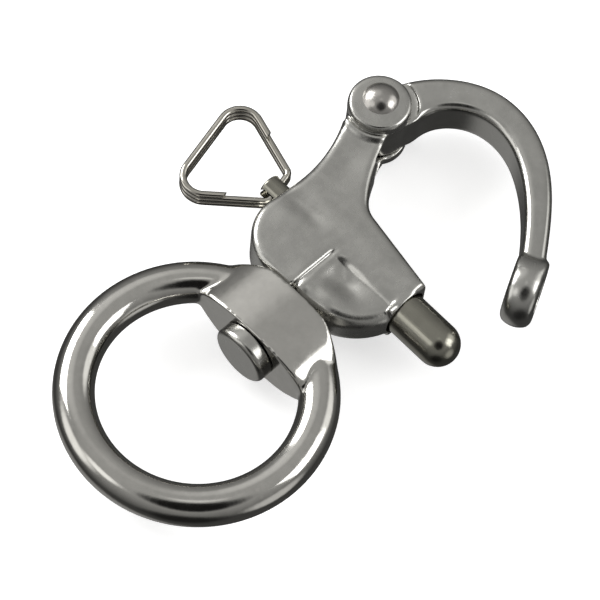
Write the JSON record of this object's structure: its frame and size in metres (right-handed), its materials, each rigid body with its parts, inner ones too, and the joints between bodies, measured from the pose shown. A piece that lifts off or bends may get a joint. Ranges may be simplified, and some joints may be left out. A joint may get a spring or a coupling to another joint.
{
  "type": "snap shackle",
  "caption": "Stainless swivel-eye snap shackle: hinged bow held by a spring plunger with a triangular pull ring, on a swivelling round eye.",
  "frame": {"origin": "centre of the round swivel eye, on the middle plane", "axes": "+Y along the load axis from the eye towards the bow, +X the way the plunger points, +Z out of the upper face"},
  "size_m": [0.0604, 0.0954, 0.0154],
  "materials": {
    "cast_stainless": "barrel-polished casting",
    "pin_stainless": "turned and polished",
    "spring_wire": "drawn wire"
  },
  "bodies": {
    "body": {"body_casting": "cast_stainless", "swivel_pin": "pin_stainless", "plunger_spring": "spring_wire"},
    "hinge_pin": {"hinge_rivet": "pin_stainless"},
    "bow": {"bow": "cast_stainless"},
    "plunger": {"plunger": "pin_stainless"},
    "pull_ring": {"pull_ring": "spring_wire"},
    "eye": {"swivel_eye": "cast_stainless"}
  },
  "joints": [
    {"name": "bow_open", "type": "hinge", "parent": "body", "child": "hinge_pin", "pos_m": [-0.0161, 0.0559, 0], "axis": [0, 0, 1], "range_deg": [0, 95]},
    {"name": "bow_close", "type": "hinge", "parent": "hinge_pin", "child": "bow", "pos_m": [-0.0161, 0.0559, 0], "axis": [0, 0, 1], "range_deg": [-26.8, 0]},
    {"name": "plunger_slide", "type": "slide", "parent": "body", "child": "plunger", "axis": [1, 0, 0], "range_m": [-0.0108, 0], "deforming": ["plunger_spring"]},
    {"name": "pull_ring_swing", "type": "hinge", "parent": "plunger", "child": "pull_ring", "pos_m": [-0.0172, 0.0338, 0], "axis": [0, 1, 0], "range_deg": [-50, 50]},
    {"name": "eye_swivel", "type": "hinge", "parent": "body", "child": "eye", "pos_m": [0, 0, 0], "axis": [0, 1, 0], "continuous": true}
  ],
  "couplings": [
    {"joint": "plunger_slide", "follows": "bow_close", "m_per_rad": 0.02308}
  ]
}
